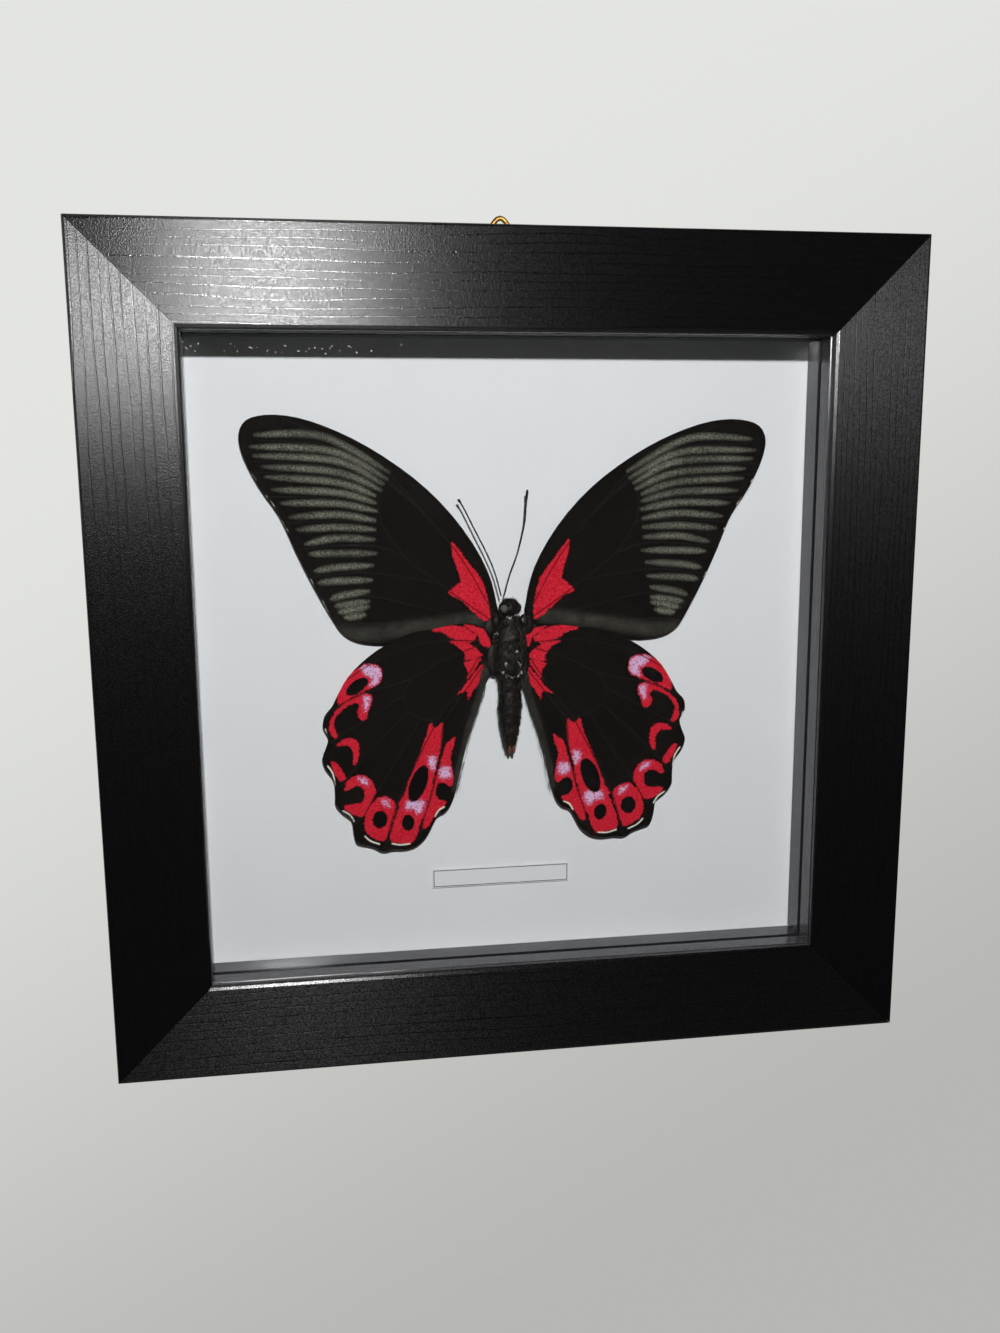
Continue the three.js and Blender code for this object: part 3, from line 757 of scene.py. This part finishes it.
# Head, thorax and abdomen, as [height, radius] from the neck to the tail
TRUNK = ((11.4, 1.2), (10.4, 2.3), (9.2, 3.0), (7.0, 3.6), (3.5, 3.9), (0.0, 3.8), (-3.0, 3.4),
         (-5.2, 2.75), (-7.5, 2.7), (-12.0, 2.75), (-16.0, 2.55), (-19.0, 2.05), (-21.8, 1.35),
         (-24.0, 0.8))
TRUNK_RINGS = 150
TRUNK_SIDES = 40
# The abdomen's segments, and how far the trunk narrows between two of them and swells in lumps
ABDOMEN_TOP = -5.4
SEGMENT = 2.3
SEGMENT_NARROWS = 0.07
LUMPS = 0.16
HEAD_X = BODY_X - 0.1
HEAD_Y = BODY_Y - 0.3
HEAD_Z = 12.1
# Lumps in pairs, as [middle x, distance from it, y, z, half sizes]: cheeks, palps, shoulders and the
# forewings' roots
LUMP_PAIRS = (
    (HEAD_X, 1.75, 12.8, 12.2, (1.1, 1.25, 1.3)),
    (HEAD_X, 0.6, 11.5, 13.3, (0.45, 0.8, 1.1)),
    (BODY_X, 3.5, 13.0, 8.9, (1.2, 1.1, 1.7)),
    (BODY_X, 4.6, 14.3, 7.4, (1.7, 0.45, 1.9)),
)
HINDWING_ROOT_HALF_WIDTHS = {-1: 1.9, 1: 1.2}
# Legs folded on the thorax: the height of each one's root, and its path from there
LEG_ROOTS = (7.6, 4.2, 1.2)
LEG_PATH = ((0.7, 11.4, 0.6), (1.9, 10.9, -0.6), (2.7, 10.9, -2.6), (1.6, 10.75, -4.6),
            (0.9, 10.8, -6.4))
LEG_RADII = (0.34, 0.32, 0.28, 0.22, 0.16)
# Coats of hair, as [how many, lowest, highest, length]
COATS = ((2600, -5.0, 11.0, 1.1), (1900, -23.6, -5.0, 0.75))
COAT_WIDTH = 0.05
GREY_HAIR_SHARE = 0.12
HEAD_HAIRS = 450
WING_HAIRS = 550
# Pale flecks among the hair, partly pale scales and partly painted glints, as [x, z], mostly in a band
# where the abdomen begins
PALE_FLECKS_AND_GLINTS = ((-0.6, 11.5), (-1.0, 9.8), (1.2, 10.4), (-4.4, 9.4), (-4.2, 5.9), (2.7, 9.3), (0.3, 1.6),
               (-2.1, -1.3), (1.5, -1.4), (-2.7, -3.6), (-1.7, -4.4), (-0.5, -4.9), (1.0, -4.7),
               (1.9, -3.8))
HAIRS_PER_FLECK = 7
# Kinds of part in the body's mesh, and their darker and paler colours in 0 to 255
EYE_GLINT, LEG, DARK_HAIR, GREY_HAIR, RUST, FLECK_AND_GLINT, WING_HAIR = range(1, 8)
CUTICLE = ((4, 3, 3), (22, 18, 15))
KIND_COLOURS = {
    # The eye's grey is a painted glint, put on the left eye only
    EYE_GLINT: ((62, 60, 56), (96, 94, 90)),
    LEG: ((16, 13, 11), (34, 28, 24)),
    DARK_HAIR: ((6, 5, 4), (34, 29, 24)),
    GREY_HAIR: ((48, 46, 41), (104, 101, 92)),
    RUST: ((76, 46, 30), (120, 78, 56)),
    # Pale flecks: partly pale scales, partly painted glints
    FLECK_AND_GLINT: ((200, 198, 190), (240, 238, 232)),
    WING_HAIR: ((26, 26, 25), (78, 78, 75)),
}


def ring_walls(rings, sides):
    """The four-cornered faces between each ring of points and the next."""
    faces = []
    for start in range(0, (rings - 1) * sides, sides):
        after = start + sides
        for k in range(sides):
            n = (k + 1) % sides
            faces.append((start + k, after + k, after + n, start + n))
    return faces


def tube(points, radii, sides=8):
    """Vertices and faces of a closed tube through points with a radius at each."""
    points = [Vector(p) for p in points]
    vertices = []
    for i, (point, radius) in enumerate(zip(points, radii)):
        ahead = points[min(i + 1, len(points) - 1)] - points[max(i - 1, 0)]
        ahead.normalize()
        across = ahead.cross(Vector((0, 1, 0)))
        across = across.normalized() if across.length > 1e-6 else Vector((1, 0, 0))
        upward = ahead.cross(across)
        for k in range(sides):
            angle = 2 * pi * k / sides
            outward = across * cos(angle) + upward * sin(angle)
            vertices.append(point + outward * float(radius))
    faces = [(a, d, c, b) for a, b, c, d in ring_walls(len(points), sides)]
    faces.append(tuple(reversed(range(sides))))
    faces.append(tuple(range((len(points) - 1) * sides, len(points) * sides)))
    return vertices, faces


class Shape:
    """Parts gathered into one mesh, in the picture frame's axes in mm."""

    def __init__(self):
        self.vertices, self.faces, self.kind = [], [], []

    def add(self, vertices, faces, kind=0.0):
        start = len(self.vertices)
        self.vertices += [tuple(v) for v in vertices]
        self.faces += [tuple(i + start for i in face) for face in faces]
        self.kind += [kind] * len(vertices)

    def ball(self, centre, radii, kind=0.0, around=24, down=16):
        """A ball with its own radius along each axis."""
        vertices = []
        for i in range(down + 1):
            polar = pi * i / down
            for k in range(around):
                turn = 2 * pi * k / around
                vertices.append((centre[0] + radii[0] * sin(polar) * cos(turn),
                                 centre[1] + radii[1] * sin(polar) * sin(turn),
                                 centre[2] + radii[2] * cos(polar)))
        self.add(vertices, ring_walls(down + 1, around), kind)

    def finish_as(self, name, finish, node):
        """Make the mesh and put it in the place of a node."""
        row = to_row(*np.array(self.vertices).T)
        piece = add_mesh(name, row, self.faces, finish, {"kind": self.kind})
        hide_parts(node)


def trunk_radius(z):
    """The trunk's radius at a height, with the narrow places between the abdomen's segments."""
    heights = [h for h, _ in reversed(TRUNK)]
    radii = [r for _, r in reversed(TRUNK)]
    radius = np.interp(z, heights, radii)
    along = (ABDOMEN_TOP - z) / SEGMENT
    if along > 0:
        phase = along % 1
        radius *= 1 - SEGMENT_NARROWS * exp(-((phase - 0.5) ** 2) / 0.012)
    return radius


def trunk_point(angle, z, out=0.0):
    """A point on the lumpy trunk, or out mm off it.

    The angle is 0 to the right and -90 degrees to the glass.
    """
    lump = noise.noise(Vector((cos(angle), sin(angle), z / 2.6)) * 1.5)
    radius = trunk_radius(z) * (1 + LUMPS * lump) + out
    x = BODY_X + radius * cos(angle)
    y = BODY_Y + BODY_FLATNESS * radius * sin(angle)
    return Vector((x, y, z))


def add_hair(shape, root, lean, length, width, kind):
    """One tapering hair that bends down a little towards its tip."""
    lean = lean.normalized()
    points = [root, root + lean * length * 0.55, root + lean * length + Vector((0, 0, -0.12 * length))]
    shape.add(*tube(points, (width, width * 0.75, width * 0.2), sides=3), kind)


def add_coat(shape, draw, count, low, high, length):
    """Hair over the trunk between two heights, combed towards the tail."""
    for _ in range(count):
        z = draw.uniform(low, high)
        angle = draw.uniform(-pi - 0.5, 0.5)
        root = trunk_point(angle, z, -0.05)
        outward = Vector((cos(angle), BODY_FLATNESS * sin(angle), 0))
        lean = outward * draw.uniform(0.25, 0.9) + Vector((draw.gauss(0, 0.3), draw.gauss(0, 0.2), -1))
        kind = GREY_HAIR if draw.random() < GREY_HAIR_SHARE else DARK_HAIR
        add_hair(shape, root, lean, length * draw.uniform(0.5, 1.3), COAT_WIDTH, kind)


def add_trunk(shape):
    heights = np.linspace(TRUNK[0][0], TRUNK[-1][0], TRUNK_RINGS)
    vertices = [trunk_point(2 * pi * k / TRUNK_SIDES, z) for z in heights
                for k in range(TRUNK_SIDES)]
    faces = ring_walls(TRUNK_RINGS, TRUNK_SIDES)
    faces.append(tuple(range(TRUNK_SIDES)))
    faces.append(tuple(reversed(range(len(vertices) - TRUNK_SIDES, len(vertices)))))
    shape.add(vertices, faces)


def add_paired_parts(shape, side):
    """Lumps, legs and tail tip on one side, which is -1 for the left and 1 for the right."""
    for middle, out, y, z, size in LUMP_PAIRS:
        shape.ball((middle + side * out, y, z), size)
    shape.ball((BODY_X + side * 3.9, 14.2, -0.8), (HINDWING_ROOT_HALF_WIDTHS[side], 0.5, 4.0))
    for root in LEG_ROOTS:
        line = [(BODY_X + side * x, y, root + z) for x, y, z in LEG_PATH]
        shape.add(*tube(line, LEG_RADII), LEG)
    tip = (BODY_X + 0.2 + side * 0.5, BODY_Y - 0.6, TRUNK[-1][0] + 0.5)
    shape.ball(tip, (0.45, 0.6, 1.2), kind=RUST, around=12, down=8)


def add_head_hair(shape, draw):
    for _ in range(HEAD_HAIRS):
        turn, rise = draw.uniform(-pi, 0), draw.uniform(-0.5, 1.3)
        level = cos(rise)
        outward = Vector((cos(turn) * level, sin(turn) * level, sin(rise)))
        root = Vector((HEAD_X + 2.4 * outward.x, HEAD_Y + 2.2 * outward.y, HEAD_Z + 2.3 * outward.z))
        lean = outward + Vector((draw.gauss(0, 0.4), 0, draw.gauss(0, 0.4)))
        add_hair(shape, root, lean, draw.uniform(0.3, 0.9), 0.04, DARK_HAIR)


def add_flecks(shape, draw):
    """Tufts of short pale hair on the side of the coat towards the glass, partly pale scales and partly
    painted glints.
    """
    for x, z in PALE_FLECKS_AND_GLINTS:
        for _ in range(HAIRS_PER_FLECK):
            at = Vector((x + draw.gauss(0, 0.22), 0, z + draw.gauss(0, 0.16)))
            off = (at.x - BODY_X) / (trunk_radius(z) + 0.6)
            at.y = BODY_Y - BODY_FLATNESS * (trunk_radius(z) + 0.35) * sqrt(max(1 - off * off, 0))
            lean = Vector((draw.gauss(0, 1), -0.3, draw.gauss(0, 1)))
            add_hair(shape, at, lean, draw.uniform(0.25, 0.6), 0.10, FLECK_AND_GLINT)


def add_wing_hair(shape, draw, side):
    """Grey hair along the inner margin of a hindwing, thickest near the body."""
    hem = from_left_wing(np.array(HINDWING_HEM), "hindwing", side)
    line = rounded(hem, closed=False, steps=12)
    inward = 1 if side == "left" else -1
    wing_y = (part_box(f"hindwing_{side}")[0].y - FRONT_Y) / MM
    for _ in range(WING_HAIRS):
        spot = int(draw.random() ** 1.8 * (len(line) - 2))
        x, z = line[spot]
        ahead = Vector((*(line[spot + 1] - line[spot]), 0)).normalized()
        root = Vector((x + inward * draw.uniform(-2.0, -0.1), wing_y - draw.uniform(-0.1, 0.2), z))
        lean = Vector((ahead.x + inward * draw.gauss(-0.08, 0.16), draw.gauss(-0.04, 0.05), ahead.y))
        add_hair(shape, root, lean, draw.uniform(1.0, 2.4), 0.035, WING_HAIR)


def add_body(finish):
    shape = Shape()
    draw = random.Random(SEED)
    add_trunk(shape)
    shape.ball((HEAD_X, HEAD_Y, HEAD_Z), (2.5, 2.3, 2.4))
    # A grey patch on the left eye only: a painted glint
    shape.ball((BODY_X - 1.7, 11.5, 12.1), (0.95, 0.8, 1.0), kind=EYE_GLINT)
    for side in (-1, 1):
        add_paired_parts(shape, side)
    for coat in COATS:
        add_coat(shape, draw, *coat)
    add_head_hair(shape, draw)
    add_flecks(shape, draw)
    for side in ("left", "right"):
        add_wing_hair(shape, draw, side)
    shape.finish_as("butterfly_body_haired", finish, "butterfly_body")


def body_finish():
    """Dark cuticle and hair, with the other parts' colours told apart by their kind."""
    finish = Finish("insect_body", Roughness=0.4, Specular_IOR_Level=0.12)
    kind = finish.attribute("kind")
    tone = finish.noise(1.2, detail=4)
    colour = finish.between(tone, CUTICLE)
    for number, colours in KIND_COLOURS.items():
        off = finish.gap(kind, float(number))
        colour = finish.mix(finish.step(off, 0.3, 0.2), colour, finish.between(tone, colours))
    finish.set(Base_Color=colour)
    finish.bump(finish.noise(3, detail=4, rough=0.7), 0.12, 0.8)
    return finish


# The antennae's middle lines, as [x, y, z] from root to tip
ANTENNAE = {
    "left": ((-2.75, 13.0, 15.1), (-4.1, 12.9, 20.2), (-5.9, 12.9, 24.8), (-9.2, 13.1, 31.4),
             (-11.7, 13.3, 36.4), (-13.1, 13.4, 38.7)),
    "right": ((-1.95, 13.0, 15.3), (-0.5, 12.9, 20.6), (1.4, 12.9, 25.6), (3.1, 13.1, 32.1),
              (3.6, 13.3, 36.3), (4.0, 13.4, 40.8)),
}
ANTENNA_RADIUS = 0.19
CLUB_RADIUS = 0.16


def add_antennae(finish):
    """Ringed threads with a club near the tip."""
    for side, path in ANTENNAE.items():
        line = rounded(path, closed=False, steps=10)
        along = np.linspace(0, 1, len(line))
        rings = 1 + 0.08 * np.sin(along * 240)
        club = CLUB_RADIUS * np.exp(-((along - 0.95) / 0.045) ** 2)
        radii = (ANTENNA_RADIUS * rings + club) * np.where(along > 0.99, 0.6, 1)
        shape = Shape()
        shape.add(*tube(line, radii))
        shape.finish_as(f"antenna_{side}_ringed", finish, f"antenna_{side}")


# The label's printed border: how far in it lies, its width and how soft its edge is, in mm
BORDER_INSET = 0.2
BORDER_WIDTH = 0.22
BORDER_SOFTNESS = 0.03
BORDER_GREY = (92, 96, 100)


def dress_label():
    """White card with a thin printed border and nothing written on it."""
    low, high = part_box("label_card")
    finish = Finish("label_paper", Roughness=0.85, Specular_IOR_Level=0.2)
    where = finish.node("TexCoord", {}, out="Object")

    def edge_gap(axis, a, b):
        value = finish.node("SeparateXYZ", {0: where}, out=axis)
        return finish.math("MINIMUM", finish.minus(value, a), finish.minus(b, value))

    inward = finish.math("MINIMUM", edge_gap("X", low.x, high.x), edge_gap("Z", low.z, high.z))
    half = BORDER_WIDTH / 2
    off = finish.gap(inward, (BORDER_INSET + half) * MM)
    ink = finish.step(off, (half + BORDER_SOFTNESS) * MM, (half - BORDER_SOFTNESS) * MM)
    paper = finish.mix(finish.noise(1.2, detail=4), *LABEL_WHITE)
    finish.set(Base_Color=finish.mix(ink, paper, linear(*BORDER_GREY)))
    dress("label_card", finish)


# Dust on the glass below the top rail: [x, z] of the densest place, how far it spreads, how many
# specks there are and their smallest and largest radius
DUST_MIDDLE = (-55.0, 73.0)
DUST_SPREAD = (13.0, 0.8)
DUST_COUNT = 46
DUST_RADII = (0.08, 0.22)
DUST_THICKNESS = 0.03
DUST_GREY = ((120, 122, 126), (214, 216, 220))


def add_dust():
    """A few pale specks of dust on the outside of the glass."""
    finish = Finish("dust", Roughness=0.9, Specular_IOR_Level=0.1)
    finish.set(Base_Color=finish.between(finish.noise(3), DUST_GREY))
    shape = Shape()
    draw = random.Random(SEED + 1)
    y = (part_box("glass_pane")[0].y - FRONT_Y) / MM - 0.01
    top = (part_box("rail_top")[0].z - MIDDLE_Z) / MM
    for _ in range(DUST_COUNT):
        x = DUST_MIDDLE[0] + draw.gauss(0, DUST_SPREAD[0])
        z = min(DUST_MIDDLE[1] + draw.gauss(0, DUST_SPREAD[1]), top - 0.6)
        size = draw.uniform(*DUST_RADII)
        radii = (size * draw.uniform(0.7, 1.6), DUST_THICKNESS, size)
        shape.ball((x, y, z), radii, around=7, down=4)
    row = to_row(*np.array(shape.vertices).T)
    dust = add_mesh("glass_dust", row, shape.faces, finish)
    dust.visible_shadow = False


def stage_sheet(name, centre, size, upright, finish):
    """A flat sheet behind or below the object."""
    w, h = size[0] / 2, size[1] / 2
    corners = [(-w, -h), (w, -h), (w, h), (-w, h)]
    corners = [(a, 0, b) if upright else (a, b, 0) for a, b in corners]
    mesh = bpy.data.meshes.new(name)
    mesh.from_pydata(corners, [], [(0, 1, 2, 3)])
    mesh.materials.append(finish.material)
    piece = bpy.data.objects.new(name, mesh)
    piece.location = centre
    bpy.context.scene.collection.objects.link(piece)


def add_light(name, spot, power, glossy):
    """A round lamp facing the frame, for either the gloss or the diffuse light and its shadows."""
    at = place(*spot)
    data = bpy.data.lights.new(name, "AREA")
    data.shape = "DISK"
    data.size = LAMP_SIZE
    data.energy = power
    light = bpy.data.objects.new(name, data)
    light.location = at
    light.rotation_euler = (place(0, 0, 0) - at).to_track_quat("-Z", "Y").to_euler()
    light.visible_glossy = glossy
    light.visible_diffuse = not glossy
    light.visible_transmission = False
    bpy.context.scene.collection.objects.link(light)


# The key lamp gives the shadow under the top rail, the glint the gloss on the upper left corner. Their
# places are in mm, their size in metres and their powers in watts.
LAMP_SIZE = 0.02
KEY_AT = (-34, -446, 209)
KEY_POWER = 2.25
GLINT_AT = (-52, -323, 118)
GLINT_POWER = 1.45

# The wall glows with a painted falloff of light: it is palest to the upper left and dims towards the
# lower right, between these metres along WALL_FALL from its middle
WALL_FALL = (0.5, 0, -1.0)
WALL_FALL_FROM = 0.1
WALL_FALL_TO = 1.5
WALL_PALE = (0.77, 0.78, 0.755)
WALL_DIM = (0.47, 0.475, 0.455)
FLOOR_COLOUR = (0.80, 0.80, 0.78)
WORLD_COLOUR = (1.0, 0.93, 0.88, 1)
WORLD_STRENGTH = 0.013


def add_stage():
    glow = Finish("backdrop_glow", Base_Color=(0, 0, 0), Specular_IOR_Level=0.0,
                  Emission_Strength=1.0)
    where = glow.node("TexCoord", {}, out="Object")
    slant = glow.node("VectorMath", {0: where, 1: WALL_FALL}, out="Value", operation="DOT_PRODUCT")
    # Painted falloff of light across the glowing backdrop, from pale to dim
    fall = glow.step(slant, WALL_FALL_FROM, WALL_FALL_TO)
    glow.set(Emission_Color=glow.mix(fall, WALL_PALE, WALL_DIM))
    paint = Finish("floor_paint", Base_Color=FLOOR_COLOUR, Roughness=0.9, Specular_IOR_Level=0.1)
    stage_sheet("backdrop", (0, 1.1, 0.3), (6, 4.6), True, glow)
    stage_sheet("floor", (0, 0, -1.25), (3, 3), False, paint)
    add_light("key", KEY_AT, KEY_POWER, glossy=False)
    add_light("glint", GLINT_AT, GLINT_POWER, glossy=True)
    world = bpy.data.worlds.new("studio")
    world.use_nodes = True
    background = world.node_tree.nodes["Background"]
    background.inputs["Color"].default_value = WORLD_COLOUR
    background.inputs["Strength"].default_value = WORLD_STRENGTH
    bpy.context.scene.world = world
    bpy.context.scene.view_settings.view_transform = "Standard"


add_camera()
dress_rails()
dress_spacers()
dress_glass()
dress_boards()
dress_hanger()
dress_label()
add_dust()
scales = wing_finish()
for wing_name in WING_SETS:
    for wing_side in ("left", "right"):
        add_wing(wing_name, wing_side, scales)
skin = body_finish()
add_body(skin)
add_antennae(skin)
add_stage()
